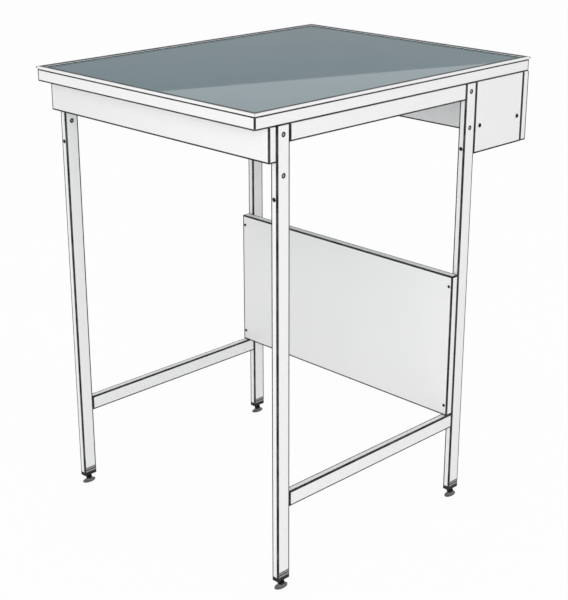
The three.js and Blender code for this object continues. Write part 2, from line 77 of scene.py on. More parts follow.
class Nodes:
    """A node tree with short calls for its nodes and links."""

    def __init__(self, tree):
        self.tree = tree

    def add(self, kind, **settings):
        node = self.tree.nodes.new(kind)
        for key, value in settings.items():
            setattr(node, key, value)
        return node

    def link(self, source, target):
        self.tree.links.new(source, target)

    def calc(self, operation, a, b=0.0):
        """A math node. Its second value is a number or an output of another node."""
        node = self.add("ShaderNodeMath", operation=operation)
        self.link(a, node.inputs[0])
        if isinstance(b, float):
            node.inputs[1].default_value = b
        else:
            self.link(b, node.inputs[1])
        return node.outputs[0]

    def times(self, a, b):
        return self.calc("MULTIPLY", a, b)

    def minus(self, a, b):
        return self.calc("SUBTRACT", a, b)

    def size(self, a):
        return self.calc("ABSOLUTE", a)

    def least(self, a, b):
        return self.calc("MINIMUM", a, b)

    def most(self, a, b):
        return self.calc("MAXIMUM", a, b)

    def below(self, a, limit):
        return self.calc("LESS_THAN", a, limit)

    def above(self, a, limit):
        return self.calc("GREATER_THAN", a, limit)

    def ramp(self, value, low, high, start, end):
        node = self.add("ShaderNodeMapRange")
        node.inputs["From Min"].default_value = low
        node.inputs["From Max"].default_value = high
        node.inputs["To Min"].default_value = start
        node.inputs["To Max"].default_value = end
        self.link(value, node.inputs["Value"])
        return node.outputs["Result"]

    def split(self, vector):
        """The X, Y and Z of a vector."""
        node = self.add("ShaderNodeSeparateXYZ")
        self.link(vector, node.inputs[0])
        return [node.outputs[name] for name in "XYZ"]


class Shader(Nodes):
    """The nodes of a new material, with calls for its mottling, lines and bumps."""

    def __init__(self, name):
        self.material = bpy.data.materials.new(name)
        self.material.use_nodes = True
        super().__init__(self.material.node_tree)
        self.surface = self.tree.nodes["Principled BSDF"]
        self.output = self.tree.nodes["Material Output"]
        self.place = self.add("ShaderNodeTexCoord").outputs["Object"]

    def set(self, **values):
        """Sets the surface's sockets to numbers, or links them to outputs of other nodes."""
        for key, value in values.items():
            socket = self.surface.inputs[key.replace("_", " ")]
            if isinstance(value, float):
                socket.default_value = value
            else:
                self.link(value, socket)

    def noise(self, per_metre, detail=3.0, rough=0.5, stretch=(1, 1, 1)):
        mapping = self.add("ShaderNodeMapping")
        mapping.inputs["Scale"].default_value = stretch
        self.link(self.place, mapping.inputs["Vector"])
        node = self.add("ShaderNodeTexNoise")
        node.inputs["Scale"].default_value = per_metre
        node.inputs["Detail"].default_value = detail
        node.inputs["Roughness"].default_value = rough
        self.link(mapping.outputs["Vector"], node.inputs["Vector"])
        return node.outputs["Fac"]

    def spread(self, noise, start, end):
        """A noise taken to the range from start to end."""
        return self.ramp(noise, *NOISE_RANGE, start, end)

    def mix(self, factor, first, second):
        node = self.add("ShaderNodeMix", data_type="RGBA")
        self.link(factor, node.inputs["Factor"])
        for socket, colour in ((node.inputs["A"], first), (node.inputs["B"], second)):
            if isinstance(colour, tuple):
                socket.default_value = (*colour, 1.0)
            else:
                self.link(colour, socket)
        return node.outputs["Result"]

    def bevel(self, radius, samples):
        node = self.add("ShaderNodeBevel", samples=samples)
        node.inputs["Radius"].default_value = radius
        return node.outputs["Normal"]

    def edges(self, radius, softness):
        """1 along the sharp edges of the mesh and 0 on its flats."""
        geometry = self.add("ShaderNodeNewGeometry")
        dot = self.add("ShaderNodeVectorMath", operation="DOT_PRODUCT")
        self.link(self.bevel(radius, BEVEL_SAMPLES_LINE), dot.inputs[0])
        self.link(geometry.outputs["Normal"], dot.inputs[1])
        return self.ramp(dot.outputs["Value"], 1.0, 1.0 - softness, 0.0, 1.0)

    def outline(self, low, high, width):
        """1 within a width of a box's edges and 0 on its flats, mirrored left to right."""
        middle, half = (low + high) / 2, (high - low) / 2
        x, y, z = self.split(self.place)
        depths = []
        for axis, place in enumerate((self.size(x), y, z)):
            away = self.size(self.minus(place, middle[axis]))
            depths.append(self.minus(away, half[axis]))
        low_pair = self.least(depths[0], depths[1])
        high_pair = self.most(depths[0], depths[1])
        second = self.most(low_pair, self.least(high_pair, depths[2]))
        return self.ramp(second, -width - LINE_SOFTNESS, -width, 0.0, 1.0)

    def bump(self, height, depth, strength, radius=0.0):
        """Bumps of a depth. With a radius, the sharp edges are shaded as if rounded too."""
        node = self.add("ShaderNodeBump")
        node.inputs["Distance"].default_value = depth
        node.inputs["Strength"].default_value = strength
        self.link(height, node.inputs["Height"])
        if radius:
            self.link(self.bevel(radius, BEVEL_SAMPLES_BUMP), node.inputs["Normal"])
        self.set(Normal=node.outputs["Normal"])


# Tones of the finishes. A pair is the two ends of a mottled tone
PAINT_TONES = ((0.855, 0.858, 0.860), (0.880, 0.880, 0.876))
BOARD_TONES = ((0.850, 0.852, 0.853), (0.872, 0.872, 0.868))
LINE_TONE = (0.020, 0.021, 0.022)
CLOUD_TONES = ((0.084, 0.167, 0.204), (0.099, 0.182, 0.216))
GRAIN_TONE = (0.134, 0.216, 0.244)
FLECK_TONE = (0.049, 0.088, 0.108)
RUBBER_TONES = ((0.014, 0.016, 0.017), (0.030, 0.033, 0.035))
PLASTIC_TONES = ((0.006, 0.006, 0.007), (0.014, 0.014, 0.015))
PLASTIC_EDGE_TONE = (0.030, 0.031, 0.032)
RIB_TONES = ((0.24, 0.245, 0.25), (0.33, 0.335, 0.34))
PAD_TONES = ((0.11, 0.112, 0.115), (0.16, 0.162, 0.165))
BLACK_STEEL_TONES = ((0.010, 0.010, 0.011), (0.024, 0.025, 0.027))
ZINC_TONES = ((0.46, 0.47, 0.48), (0.62, 0.63, 0.64))
FLOOR_TONES = ((0.90, 0.90, 0.90), (0.93, 0.93, 0.93))

# Dark lines on the white parts, as the picture draws them
LINE_WIDTH = 3.0 * MM  # from the edges of the part's box
LINE_SOFTNESS = 0.4 * MM
LINE_FAINTEST = 0.92
COVERED_HEIGHT = 20.0 * MM  # parts that end this close under the top get no line there
SEALANT_WIDTH = 8.2 * MM  # on the top of the border, from the seal
SEALANT_DEPTH = 0.5 * MM  # below the top of the border
SEALANT_RISE = 0.8 * MM  # up the inner face of the border, from the slab
SEAL_GAP = 0.6 * MM  # more than the gap between seal and border
LIP_OVERHANG = 2.0 * MM
LIP_HEIGHT = 4.3 * MM
LIP_SHADE_HEIGHT = 3.2 * MM  # height of the painted shade under the lip's overhang
FAR_LIP_SHADE = 3.3 * MM  # width and height of the painted shade on the lip at the left and rear, the sides away from the key lamp
SHADE_RING_WIDTH = 1.1 * MM  # of the rings of painted shade around bolts and plugs, where the holes round them lie in shadow
TOP_LINE = 2.4 * MM  # width of the line along the lower edge and corners of the top

# Sheen and relief
WHITE_SHEEN = 0.5
LINE_SHEEN = 0.05
PLASTIC_SHEEN = 0.22
STONE_IOR = 1.22
PAINT_EDGE_ROUND = 0.8 * MM
PLASTIC_EDGE = 0.4 * MM
METAL_EDGE = 0.3 * MM
METAL_EDGE_SHINE = 1.5


def line_box(node):
    """The box of a part, on the right if it has a twin, and up into the top if that covers it."""
    low, high = (corner.copy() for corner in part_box(node))
    if high.x < 0:
        low.x, high.x = -high.x, -low.x
    if high.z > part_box("edge_front")[0].z - COVERED_HEIGHT:
        high.z += COVERED_HEIGHT
    return low, high


def draw_line(s, tone, line):
    """Makes a tone dark and dull where the line is 1."""
    s.set(
        Base_Color=s.mix(line, tone, LINE_TONE),
        Specular_IOR_Level=s.ramp(line, 0.0, 1.0, WHITE_SHEEN, LINE_SHEEN),
    )


def white_paint(name, node):
    """Satin powder coat: fine orange peel, dark lines along the edges."""
    s = Shader(name)
    tone = s.mix(s.noise(3.0), *PAINT_TONES)
    if node.startswith("edge_"):
        line = s.most(top_lines(s), sealant_line(s))
    else:
        line = s.outline(*line_box(node), LINE_WIDTH)
        if node.startswith("leg_"):
            # painted shade: dark rings around the leg's bolts and plug
            line = s.most(line, fastener_shade_rings(s, node.removeprefix("leg_")))
    uneven = s.ramp(s.noise(60.0, 4.0), 0.25, 0.6, LINE_FAINTEST, 1.0)
    draw_line(s, tone, s.times(line, uneven))
    s.set(Roughness=s.spread(s.noise(25.0, 4.0), 0.36, 0.5))
    s.bump(s.noise(1100.0, 2.0), 0.12 * MM, 0.25, PAINT_EDGE_ROUND)
    return s.material


def fastener_shade_rings(s, corner):
    """1 on rings of painted shade around the bolts and the hole plug of a leg, the shadow of the
    holes round them.
    """
    x, y, z = s.split(s.place)
    rings = []
    for kind in ("frame_bolt", "leg_bolt", "hole_plug"):
        low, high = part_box(f"{kind}_{corner}")
        middle = (low + high) / 2
        radius = (high.z - low.z) / 2 + SHADE_RING_WIDTH
        if kind == "hole_plug":
            side = s.minus(s.size(x), abs(middle.x))
        else:
            side = s.minus(y, middle.y)
        away = s.add("ShaderNodeCombineXYZ")
        s.link(side, away.inputs["X"])
        s.link(s.minus(z, middle.z), away.inputs["Z"])
        length = s.add("ShaderNodeVectorMath", operation="LENGTH")
        s.link(away.outputs["Vector"], length.inputs[0])
        rings.append(s.ramp(length.outputs["Value"], radius, radius + LINE_SOFTNESS, 1.0, 0.0))
    return s.most(s.most(rings[0], rings[1]), rings[2])


def top_lines(s):
    """1 along the top's lower edge and corners, with painted shade under its lip and on the lip's
    left and rear, away from the key lamp.
    """
    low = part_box("edge_front")[0]
    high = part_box("edge_rear")[1]
    lip_bottom = high.z - LIP_HEIGHT
    x, y, z = s.split(s.place)
    overhang = Vector((LIP_OVERHANG, LIP_OVERHANG, 0))
    covered = Vector((0, 0, COVERED_HEIGHT))
    edges = s.outline(low + overhang, high - overhang + covered, TOP_LINE)
    body = s.below(z, lip_bottom)
    # painted shade: a dark band on the face just under the lip's overhang
    shade_under_lip = s.times(body, s.above(z, lip_bottom - LIP_SHADE_HEIGHT))
    # painted shade along the top of the lip at the left and rear, the sides away from the key lamp
    far = s.most(s.below(x, low.x + FAR_LIP_SHADE), s.above(y, high.y - FAR_LIP_SHADE))
    far_lip_shade = s.times(far, s.above(z, high.z - FAR_LIP_SHADE))
    return s.most(s.most(s.times(edges, body), shade_under_lip), far_lip_shade)


def sealant_line(s):
    """Nearly 1 on the sealant along the inner edge of the border, and 0 elsewhere."""
    x, y, z = s.split(s.place)
    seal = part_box("slab_seal")[1]

    def within(margin):
        """1 inside the seal's outer edge plus a margin."""
        across = s.below(s.size(x), seal.x + margin)
        return s.times(across, s.below(s.size(y), seal.y + margin))

    top = s.above(z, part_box("edge_front")[1].z - SEALANT_DEPTH)
    foot = s.below(s.size(s.minus(z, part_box("slab")[1].z)), SEALANT_RISE)
    line = s.most(s.times(within(SEALANT_WIDTH), top), s.times(within(SEAL_GAP), foot))
    return s.times(line, s.spread(s.noise(35.0), 0.95, 1.0))


def white_board(name, node):
    """White melamine board: faint pearl texture, dark lines along the banded edges."""
    s = Shader(name)
    tone = s.mix(s.noise(8.0), *BOARD_TONES)
    line = s.outline(*line_box(node), LINE_WIDTH)
    uneven = s.ramp(s.noise(45.0, 4.0), 0.2, 0.6, LINE_FAINTEST, 1.0)
    draw_line(s, tone, s.times(line, uneven))
    s.set(Roughness=s.spread(s.noise(500.0), 0.44, 0.58))
    s.bump(s.noise(2400.0, 2.0, 0.6), 0.06 * MM, 0.3)
    return s.material


def stone():
    """Polished blue-grey stone: fine even grain with slow cloudy drifts."""
    s = Shader("polished_blue_grey_stone")
    cloud = s.mix(s.spread(s.noise(7.0, 5.0), 0.0, 1.0), *CLOUD_TONES)
    grain = s.ramp(s.noise(900.0, 6.0, 0.7), 0.52, 0.72, 0.0, 0.35)
    fleck = s.ramp(s.noise(420.0, 5.0, 0.75), 0.60, 0.74, 0.0, 0.4)
    s.set(
        Base_Color=s.mix(fleck, s.mix(grain, cloud, GRAIN_TONE), FLECK_TONE),
        Roughness=s.spread(s.noise(40.0, 4.0), 0.008, 0.022),
        IOR=STONE_IOR,
    )
    return s.material


def dark_rubber():
    s = Shader("dark_seal_rubber")
    s.set(
        Base_Color=s.mix(s.noise(300.0, 4.0), *RUBBER_TONES),
        Roughness=s.spread(s.noise(700.0), 0.7, 0.9),
    )
    s.bump(s.noise(1800.0), 0.1 * MM, 0.3)
    return s.material


def spark_eroded(s, smoothest, roughest):
    """The grain of moulded plastic."""
    s.set(Roughness=s.spread(s.noise(900.0), smoothest, roughest))
    s.bump(s.noise(3200.0, 3.0, 0.7), 0.08 * MM, 0.4)


def black_plastic():
    """Moulded black plastic: spark-eroded grain, lighter along the sharp edges."""
    s = Shader("moulded_black_plastic")
    tone = s.mix(s.noise(200.0, 4.0), *PLASTIC_TONES)
    s.set(
        Base_Color=s.mix(s.edges(PLASTIC_EDGE, 0.15), tone, PLASTIC_EDGE_TONE),
        Specular_IOR_Level=PLASTIC_SHEEN,
    )
    spark_eroded(s, 0.42, 0.6)
    return s.material


def grey_plastic(name, tones):
    """The same moulding in a lighter grey."""
    s = Shader(name)
    s.set(Base_Color=s.mix(s.noise(160.0, 5.0), *tones))
    spark_eroded(s, 0.45, 0.62)
    return s.material


def metal(name, tones, rough):
    """Plated steel: streaky colour and roughness, bright along the edges."""
    s = Shader(name)
    tone = s.mix(s.noise(400.0, 4.0, 0.6, (1, 1, 6)), *tones)
    shine = tuple(min(1.0, METAL_EDGE_SHINE * c) for c in tones[1])
    s.set(
        Base_Color=s.mix(s.edges(METAL_EDGE, 0.2), tone, shine),
        Roughness=s.spread(s.noise(250.0, 4.0), rough - 0.08, rough + 0.1),
        Metallic=1.0,
    )
    s.bump(s.noise(1500.0, 2.0, 0.5, (1, 1, 8)), 0.03 * MM, 0.3)
    return s.material


FINISHES = {
    "stone_slab": stone(),
    "dark_rubber": dark_rubber(),
    "black_plastic": black_plastic(),
    "black_steel": metal("blackened_steel", BLACK_STEEL_TONES, 0.45),
    "zinc": metal("zinc_plate", ZINC_TONES, 0.34),
}
LINED_FINISHES = {"white_paint": white_paint, "white_board": white_board}
GREY_RIBS = grey_plastic("grey_cap_ribs", RIB_TONES)
PAD_PLASTIC = grey_plastic("scuffed_foot_pad", PAD_TONES)
NODE_SLOT = {part["node"]: part["material_slot"] for part in frame["record"]["subparts"]}


def finish_of(node):
    """The material of a node. White parts have one for each shape, since its lines follow it."""
    slot = NODE_SLOT[node]
    if slot not in LINED_FINISHES:
        return FINISHES[slot]
    shape = node.removesuffix("_left").removesuffix("_right")
    if node.startswith("edge_"):
        shape = "top_edge"
    name = f"{slot}_{shape}"
    if name not in FINISHES:
        FINISHES[name] = LINED_FINISHES[slot](name, node)
    return FINISHES[name]


def dress_cad_nodes():
    for name, node in nodes.items():
        node.data.materials.clear()
        node.data.materials.append(finish_of(name))


# Mesh helpers
SMOOTH_DEGREES = 35.0


def mesh_object(name, mesh, materials=()):
    """A bmesh becomes an object of the scene, with its faces turned outwards."""
    data = bpy.data.meshes.new(name)
    bmesh.ops.recalc_face_normals(mesh, faces=mesh.faces)
    mesh.to_mesh(data)
    mesh.free()
    for material in materials:
        data.materials.append(material)
    item = bpy.data.objects.new(name, data)
    bpy.context.scene.collection.objects.link(item)
    return item


def add_piece(mesh, name, node, body="frame", extra_materials=()):
    """A finished bmesh becomes a piece that stands for one CAD node."""
    piece = mesh_object(name, mesh, [finish_of(node), *extra_materials])
    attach(piece, body)
    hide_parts(node)
    return piece


def smooth(piece, degrees=SMOOTH_DEGREES):
    for face in piece.data.polygons:
        face.use_smooth = True
    piece.data.set_sharp_from_angle(angle=math.radians(degrees))


def steps_between(start, end, steps):
    return [start + (end - start) * k / steps for k in range(steps + 1)]


def around(count):
    """The angles of a full turn in equal steps."""
    return steps_between(0, 2 * math.pi, count)[:-1]


def lathe(profile, segments):
    """Turns (radius, height) points about Z. The profile starts and ends on the axis."""
    mesh = bmesh.new()
    rings = []
    for radius, height in profile:
        angles = around(segments) if radius else [0]
        spots = [(radius * math.cos(a), radius * math.sin(a), height) for a in angles]
        rings.append([mesh.verts.new(spot) for spot in spots])
    for low, high in zip(rings, rings[1:]):
        for i in range(segments):
            j = (i + 1) % segments
            ends = (low[i % len(low)], low[j % len(low)], high[j % len(high)], high[i % len(high)])
            mesh.faces.new(list(dict.fromkeys(ends)))
    return mesh


def skin(rows):
    """A closed mesh through rows of points, each row a ring of as many."""
    mesh = bmesh.new()
    rings = [[mesh.verts.new(spot) for spot in row] for row in rows]
    for low, high in zip(rings, rings[1:]):
        for i in range(len(low)):
            j = (i + 1) % len(low)
            mesh.faces.new((low[i], low[j], high[j], high[i]))
    mesh.faces.new(rings[0][::-1])
    mesh.faces.new(rings[-1])
    return mesh


def prism(outline, bottom, top, taper=1.0):
    """A closed prism from (x, y) points, narrower at its bottom by the taper."""
    low = [(taper * x, taper * y, bottom) for x, y in outline]
    return skin([low, [(x, y, top) for x, y in outline]])


def rounded(points, steps=4):
    """Points of (radius, height, round) with each corner drawn as a short arc of that size."""
    out = []
    for i, (x, y, size) in enumerate(points):
        here = Vector((x, y))
        if size == 0:
            out.append((x, y))
            continue
        before = Vector(points[i - 1][:2])
        after = Vector(points[i + 1][:2])
        start = here + (before - here).normalized() * size
        end = here + (after - here).normalized() * size
        for t in steps_between(0, 1, steps):
            spot = start * (1 - t) ** 2 + here * (2 * t * (1 - t)) + end * t ** 2
            out.append((spot.x, spot.y))
    return out


def cut(piece, tool_mesh):
    """Cuts a bmesh tool out of a piece."""
    tool = mesh_object("tool", tool_mesh)
    data = tool.data
    modifier = piece.modifiers.new("cut", "BOOLEAN")
    modifier.operation = "DIFFERENCE"
    modifier.solver = "EXACT"
    modifier.object = tool
    with bpy.context.temp_override(object=piece, active_object=piece):
        bpy.ops.object.modifier_apply(modifier="cut")
    bpy.data.objects.remove(tool)
    bpy.data.meshes.remove(data)


def turn_to(direction, place):
    """The matrix that takes local +Z to a direction, and the origin to a place."""
    turn = Vector((0, 0, 1)).rotation_difference(Vector(direction)).to_matrix().to_4x4()
    return Matrix.Translation(place) @ turn


def trimmed_box(size, centre, trim, segments, profile):
    """A box with all its edges trimmed: rounded at a profile of 0.5, stepped at 0."""
    mesh = bmesh.new()
    bmesh.ops.create_cube(mesh, size=1.0)
    bmesh.ops.scale(mesh, vec=size, verts=mesh.verts)
    edges = mesh.edges[:]
    bmesh.ops.bevel(
        mesh, geom=edges, offset=trim, segments=segments, profile=profile, affect="EDGES"
    )
    bmesh.ops.translate(mesh, vec=centre, verts=mesh.verts)
    return mesh


# Boards with softened, banded edges
BOARD_TRIM = {"trim": 1.0 * MM, "segments": 3, "profile": 0.5}


def add_boards():
    for node in ("front_apron", "rear_panel", "rear_skirt"):
        low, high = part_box(node)
        mesh = trimmed_box(high - low, (low + high) / 2, **BOARD_TRIM)
        smooth(add_piece(mesh, f"{node}_board", node))


# Screws: pan heads with a cross recess
SCREW_COLUMNS = 32
SCREW_SHANK = 1.5 * MM  # radius
SCREW_TIP_RADIUS = 0.5  # of the shank's radius
SCREW_TIP_LENGTH = 0.6  # of the shank's radius
SCREW_HEAD_HEIGHT = 1.6 * MM
SCREW_RIM = 0.55  # of the head's height
SCREW_CROWN = 0.62  # of the head's radius
SCREW_FOOT_ROUND = 0.15 * MM
SCREW_HEAD_ROUND = 0.5 * MM
CROSS_LENGTH = 2.6 * MM
CROSS_WIDTH = 0.7 * MM
CROSS_DEPTH = 0.9 * MM
CROSS_TAPER = 0.75


def cross_outline():
    """The twelve corners of a plus sign, turned by an eighth of a turn."""
    arm, half = CROSS_LENGTH / 2, CROSS_WIDTH / 2
    points = []
    for quarter in range(4):
        turn = Matrix.Rotation(quarter * math.pi / 2 + math.pi / 4, 2)
        points += [turn @ Vector(corner) for corner in ((half, half), (arm, half), (arm, -half))]
    order = sorted(points, key=lambda p: math.atan2(p.y, p.x))
    return [(p.x, p.y) for p in order]


def add_screw(node, outward):
    low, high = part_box(node)
    size = high - low
    axis = max(range(3), key=lambda i: size[i])
    head = min(size) / 2
    shank = SCREW_SHANK
    top = SCREW_HEAD_HEIGHT
    length = size[axis] - top
    profile = rounded(
        [
            (0, -length, 0),
            (SCREW_TIP_RADIUS * shank, -length, 0),
            (shank, -length + SCREW_TIP_LENGTH * shank, 0),
            (shank, 0, 0),
            (head, 0, SCREW_FOOT_ROUND),
            (head, SCREW_RIM * top, SCREW_HEAD_ROUND),
            (SCREW_CROWN * head, top, SCREW_HEAD_ROUND),
            (0, top, 0),
        ]
    )
    piece = add_piece(lathe(profile, SCREW_COLUMNS), f"{node}_piece", node)
    cut(piece, prism(cross_outline(), top - CROSS_DEPTH, top + CROSS_DEPTH, CROSS_TAPER))
    place = (low + high) / 2
    place[axis] = (high[axis] if outward[axis] > 0 else low[axis]) - outward[axis] * top
    piece.data.transform(turn_to(outward, place))
    smooth(piece)


def add_screws():
    for side, sign in SIDES.items():
        for level in ("lower", "upper"):
            add_screw(f"panel_screw_{level}_{side}", (0, -1, 0))
        for end in ENDS:
            add_screw(f"cover_screw_{end}_{side}", (sign, 0, 0))


# Socket bolts in the legs: a sleeve-shaped head, and on the frame bolts a thinner shank
BOLT_COLUMNS = 36
BOLT_SLEEVE = 12.8 * MM
BOLT_SHANK_RADIUS = 2.5 * MM
BOLT_CHAMFER = 0.5 * MM
BOLT_FACE = 2.1 * MM  # radius of the bright face inside the blackened rim
SOCKET_ACROSS_FLATS = 2.5 * MM
SOCKET_DEPTH = 1.2 * MM


def hexagon(across_flats):
    radius = across_flats / math.sqrt(3)
    angles = [math.radians(30 + 60 * i) for i in range(6)]
    return [(radius * math.cos(a), radius * math.sin(a)) for a in angles]


def add_bolt(node, sign, through):
    low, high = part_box(node)
    head = (high.z - low.z) / 2
    length = high.x - low.x
    foot_radius = head if through else BOLT_SHANK_RADIUS
    profile = [
        (0, -length, 0),
        (foot_radius - BOLT_CHAMFER, -length, 0),
        (foot_radius, -length + BOLT_CHAMFER, 0),
    ]
    if not through:
        profile += [(BOLT_SHANK_RADIUS, -BOLT_SLEEVE, 0), (head, -BOLT_SLEEVE, 0)]
    profile += [(head, 0, BOLT_CHAMFER), (BOLT_FACE, 0, 0), (0, 0, 0)]
    mesh = lathe(rounded(profile), BOLT_COLUMNS)
    piece = add_piece(mesh, f"{node}_piece", node, extra_materials=[FINISHES["black_steel"]])
    for level in (0, -length) if through else (0,):
        socket = hexagon(SOCKET_ACROSS_FLATS)
        cut(piece, prism(socket, level - SOCKET_DEPTH, level + SOCKET_DEPTH))
    for polygon in piece.data.polygons:
        if Vector(polygon.center[:2]).length > BOLT_FACE:
            polygon.material_index = 1
    centre = (low + high) / 2
    face = high.x if sign > 0 else low.x
    piece.data.transform(turn_to((sign, 0, 0), Vector((face, centre.y, centre.z))))
    smooth(piece)


def add_bolts():
    for end in ENDS:
        for side, sign in SIDES.items():
            add_bolt(f"frame_bolt_{end}_{side}", sign, through=False)
            add_bolt(f"leg_bolt_{end}_{side}", sign, through=True)


# Domed plugs in the legs' front holes
PLUG_COLUMNS = 32
PLUG_HEAD = 0.8 * MM
PLUG_RIM = 0.3  # of the head's height
PLUG_DOME_STEPS = 8
PLUG_STEM_RADIUS = 2.0 * MM
PLUG_TIP_INSET = 0.5 * MM
PLUG_TIP_LENGTH = 1.0 * MM


def add_plugs():
    for corner in CORNERS:
        node = f"hole_plug_{corner}"
        low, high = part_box(node)
        head = (high.x - low.x) / 2
        stem = high.y - low.y - PLUG_HEAD
        dome = [
            (head * math.cos(a), PLUG_HEAD * (PLUG_RIM + (1 - PLUG_RIM) * math.sin(a)))
            for a in steps_between(0, math.pi / 2, PLUG_DOME_STEPS)
        ]
        dome[-1] = (0, PLUG_HEAD)
        profile = [
            (0, -stem),
            (PLUG_STEM_RADIUS - PLUG_TIP_INSET, -stem),
            (PLUG_STEM_RADIUS, -stem + PLUG_TIP_LENGTH),
            (PLUG_STEM_RADIUS, 0),
            (head, 0),
            *dome,
        ]
        piece = add_piece(lathe(profile, PLUG_COLUMNS), f"{node}_piece", node)
        centre = (low + high) / 2
        place = Vector((centre.x, low.y + PLUG_HEAD, centre.z))
        piece.data.transform(turn_to((0, -1, 0), place))
        smooth(piece)


# Pads of the levelling feet
PAD_COLUMNS = 64
PAD_RIM = 3.2 * MM
PAD_ROUND = 0.9 * MM
PAD_GROOVE = 0.35 * MM
PAD_SOLE = 2.6 * MM
PAD_SMOOTH_DEGREES = 40
SOLE_ROUND_START = 0.3  # radians, where the arc from sole to rim begins
COVE_START = 0.08
COVE_STEPS = 9
COVE_POWER = 1.4
HUB_RADIUS = 6.3 * MM
HUB_ROUND = 0.4 * MM
HUB_BORE = 4.3 * MM


def pad_rings(half_width, half_length, height):
    """(half width, half length, height) of rings from the sole over rim and cove to the hub."""
    def rim(inset, level):
        return (half_width - inset, half_length - inset, level)

    def hub(radius, level):
        return (radius, radius, level)

    rings = [rim(PAD_ROUND, 0)]
    rings += [
        rim(PAD_ROUND * (1 - math.sin(a)), PAD_ROUND * (1 - math.cos(a)))
        for a in steps_between(SOLE_ROUND_START, math.pi / 2, 3)
    ]
    middle = PAD_RIM / 2
    rings += [rim(0, middle - PAD_GROOVE), rim(PAD_GROOVE, middle), rim(0, middle + PAD_GROOVE)]
    rings += [
        rim(PAD_ROUND * (1 - math.cos(a)), PAD_RIM - PAD_ROUND * (1 - math.sin(a)))
        for a in steps_between(0, math.pi / 2, 4)
    ]
    lip = height - HUB_ROUND
    for t in steps_between(COVE_START, 1.0, COVE_STEPS):
        keep = (1 - t) ** 2
        width = HUB_RADIUS + (half_width - PAD_ROUND - HUB_RADIUS) * keep
        length = HUB_RADIUS + (half_length - PAD_ROUND - HUB_RADIUS) * keep
        rings.append((width, length, PAD_RIM + (lip - PAD_RIM) * t ** COVE_POWER))
    rings.append(hub(HUB_RADIUS - HUB_ROUND, height))
    rings += [hub(HUB_BORE, height), hub(HUB_BORE, PAD_SOLE)]
    return rings


def add_pads():
    for corner in CORNERS:
        node = f"foot_pad_{corner}"
        low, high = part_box(node)
        half = (high - low) / 2
        rows = [
            [(width * math.cos(a), length * math.sin(a), level) for a in around(PAD_COLUMNS)]
            for width, length, level in pad_rings(half.x, half.y, high.z - low.z)
        ]
        mesh = skin(rows)
        centre = (low + high) / 2
        bmesh.ops.translate(mesh, vec=(centre.x, centre.y, low.z), verts=mesh.verts)
        piece = add_piece(mesh, f"{node}_piece", node, f"foot_{corner}", [PAD_PLASTIC])
        for polygon in piece.data.polygons:
            if polygon.center.z > PAD_RIM - PAD_ROUND:
                polygon.material_index = 1
        smooth(piece, PAD_SMOOTH_DEGREES)


# Spindles of the levelling feet: a neck, a hexagonal collar and a thread
SPINDLE_COLUMNS = 36
SPINDLE_RADIUS = 4.0 * MM
SPINDLE_NECK = 3.6 * MM
SPINDLE_TIP = 2.8 * MM  # radius at the upper end
SPINDLE_SMOOTH_DEGREES = 32
THREAD_PITCH = 1.25 * MM
THREAD_DEPTH = 0.65 * MM
THREAD_STEPS = 6  # rows of points in each turn
THREAD_START = 0.5 * MM  # above the collar
TOOTH_STEEPNESS = 1.35  # above 1 the tooth has a flat crest
COLLAR_ACROSS_FLATS = 12.0 * MM
COLLAR_LEVELS = (7.3 * MM, 13.3 * MM)
COLLAR_CHAMFER = 0.6 * MM
COLLAR_INSET = 0.15 * MM  # of the turned-off ends, from the flats
COLLAR_SLOPE = 1.8


def neck_radius(angle, level, top):
    return SPINDLE_NECK


def collar_radius(angle, level, top):
    """A hexagon with flats towards X, its corners turned off at both ends."""
    sixth = math.pi / 3
    flat = COLLAR_ACROSS_FLATS / 2
    off = (angle + sixth / 2) % sixth - sixth / 2
    end = min(level - COLLAR_LEVELS[0], COLLAR_LEVELS[1] - level)
    return min(flat / math.cos(off), flat - COLLAR_INSET + COLLAR_SLOPE * end)


def thread_radius(angle, level, top):
    phase = (level / THREAD_PITCH - angle / (2 * math.pi)) % 1.0
    tooth = min(1.0, TOOTH_STEEPNESS * (1 - abs(2 * phase - 1)))
    return min(SPINDLE_RADIUS - THREAD_DEPTH * (1 - tooth), SPINDLE_TIP + (top - level))


def spindle_levels(bottom, top):
    """(height, radius function) of each row of points, from the neck up to the thread's end."""
    under, over = COLLAR_LEVELS
    start = over + THREAD_START
    count = round((top - start) / THREAD_PITCH * THREAD_STEPS)
    collar = (under, under + COLLAR_CHAMFER, over - COLLAR_CHAMFER, over)
    return [
        *((level, neck_radius) for level in (bottom, under)),
        *((level, collar_radius) for level in collar),
        *((level, neck_radius) for level in (over, start)),
        *((level, thread_radius) for level in steps_between(start, top, count)[1:]),
    ]


def add_spindles():
    for corner in CORNERS:
        node = f"foot_spindle_{corner}"
        low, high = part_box(node)
        centre = (low + high) / 2
        rows = []
        for level, radius_at in spindle_levels(low.z, high.z):
            row = []
            for angle in around(SPINDLE_COLUMNS):
                r = radius_at(angle, level, high.z)
                row.append((centre.x + r * math.cos(angle), centre.y + r * math.sin(angle), level))
            rows.append(row)
        piece = add_piece(skin(rows), f"{node}_piece", node, f"spindle_{corner}")
        smooth(piece, SPINDLE_SMOOTH_DEGREES)


# Grey ribs on the wide faces of the leg caps
RIB_LENGTH = 25.4 * MM
RIB_HEIGHT = 3.6 * MM
RIB_PROUD = 0.3 * MM
RIB_SEAT = 0.5 * MM
RIB_TRIM = {"trim": 0.25 * MM, "segments": 2, "profile": 0.0}
RIB_LEVELS = (9.4 * MM, 15.2 * MM)  # above the cap's underside


